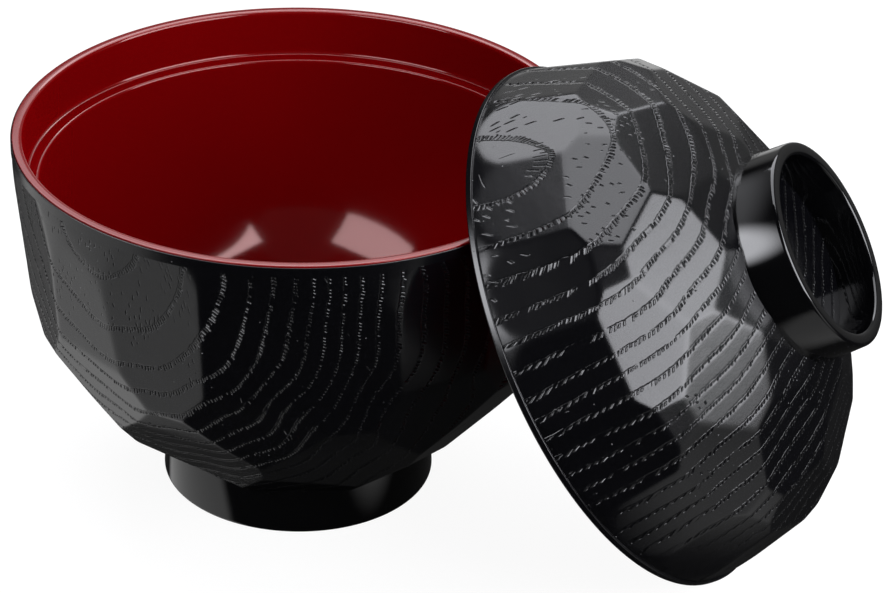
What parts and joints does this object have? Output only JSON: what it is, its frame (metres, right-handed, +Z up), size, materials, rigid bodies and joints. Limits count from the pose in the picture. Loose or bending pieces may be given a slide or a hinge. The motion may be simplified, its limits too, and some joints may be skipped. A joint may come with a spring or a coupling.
{
  "type": "lidded rice bowl",
  "caption": "Round lidded bowl with a carved, faceted black outside, smooth red inside, foot ring, and a domed lid with a ring knob that leans on the rim.",
  "frame": {"origin": "centre of the bowl's flat underside, inside the foot ring, 8.5 mm above the table", "axes": "+Z up along the bowl's own axis; -Y towards the viewer; the lid leans away towards +X, turned 18.9 degrees to -Y"},
  "size_m": [0.1964, 0.1512, 0.1117],
  "materials": {
    "carved_black": "satin black over stitched wood grain grooves",
    "polished_black": "polished black",
    "red_lacquer": "glossy deep red"
  },
  "bodies": {
    "bowl": {"bowl_body": "carved_black", "bowl_foot_ring": "polished_black", "bowl_red_lining": "red_lacquer"},
    "lid": {"lid_body": "carved_black", "lid_knob_ring": "polished_black", "lid_red_lining": "red_lacquer"}
  },
  "joints": [
    {"name": "lid_swing", "type": "hinge", "parent": "bowl", "child": "lid", "pos_m": [-0.0014, 0.00048, -0.00425], "axis": [-0.3239, -0.9461, 0], "range_deg": [0, 57.6]}
  ]
}
